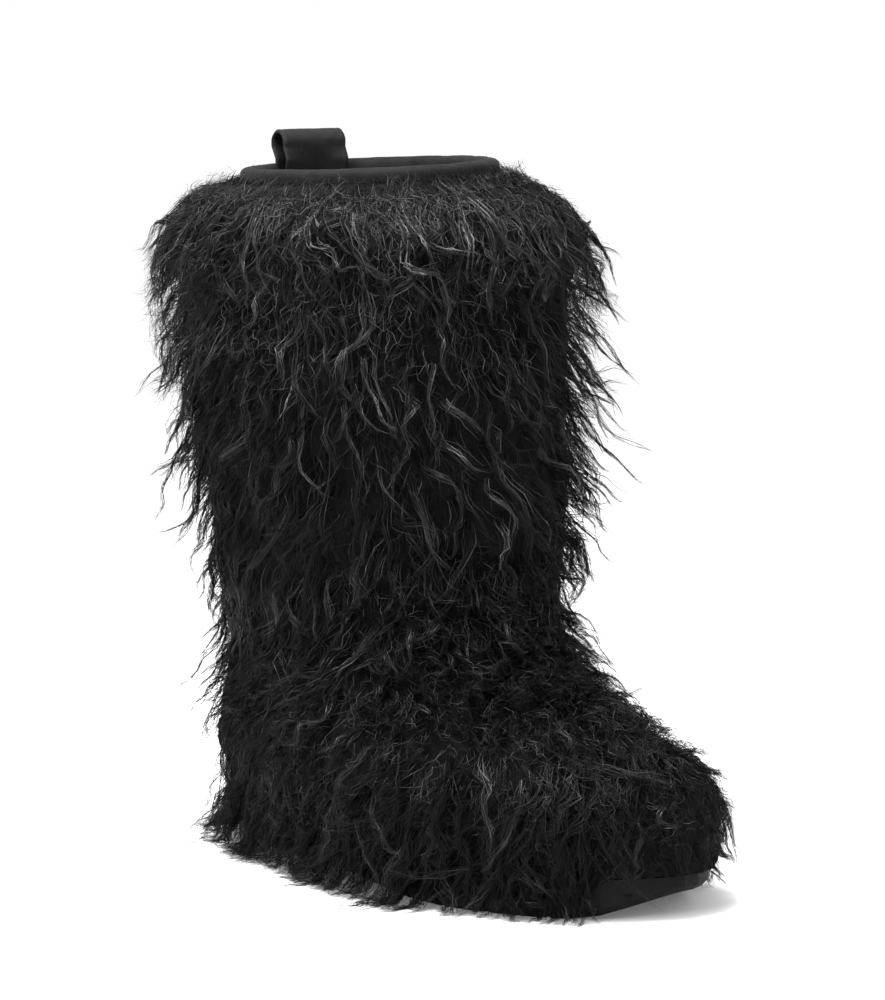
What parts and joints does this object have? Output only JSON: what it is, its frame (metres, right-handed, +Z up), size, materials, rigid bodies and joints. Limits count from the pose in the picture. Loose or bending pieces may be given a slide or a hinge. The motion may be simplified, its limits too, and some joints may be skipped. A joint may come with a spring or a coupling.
{
  "type": "snow boot",
  "caption": "Tall slip-on snow boot for the right foot, covered in long curly fur, with a bound collar, a pull loop at the back and a lugged rubber sole.",
  "frame": {"origin": "on the floor, under the middle of the heel, on the flat of the outsole between two grooves", "axes": "+X towards the toe, +Z up, -Y towards the outer side of the right foot"},
  "size_m": [0.3325, 0.1824, 0.3076],
  "materials": {
    "outsole": "matt black rubber, softly grained",
    "midsole": "matt black foamed rubber",
    "insole": "cream shearling",
    "upper": "dark hide, lined with cream shearling",
    "fur_coat": "long, soft, wavy black fur with a slight sheen",
    "collar_binding": "black woven binding, stitched near both edges",
    "pull_loop": "black woven webbing"
  },
  "bodies": {
    "root": {"outsole": "outsole", "midsole": "midsole", "insole": "insole", "upper": "upper", "fur_coat": "fur_coat", "collar_binding": "collar_binding", "pull_loop": "pull_loop"}
  },
  "joints": []
}
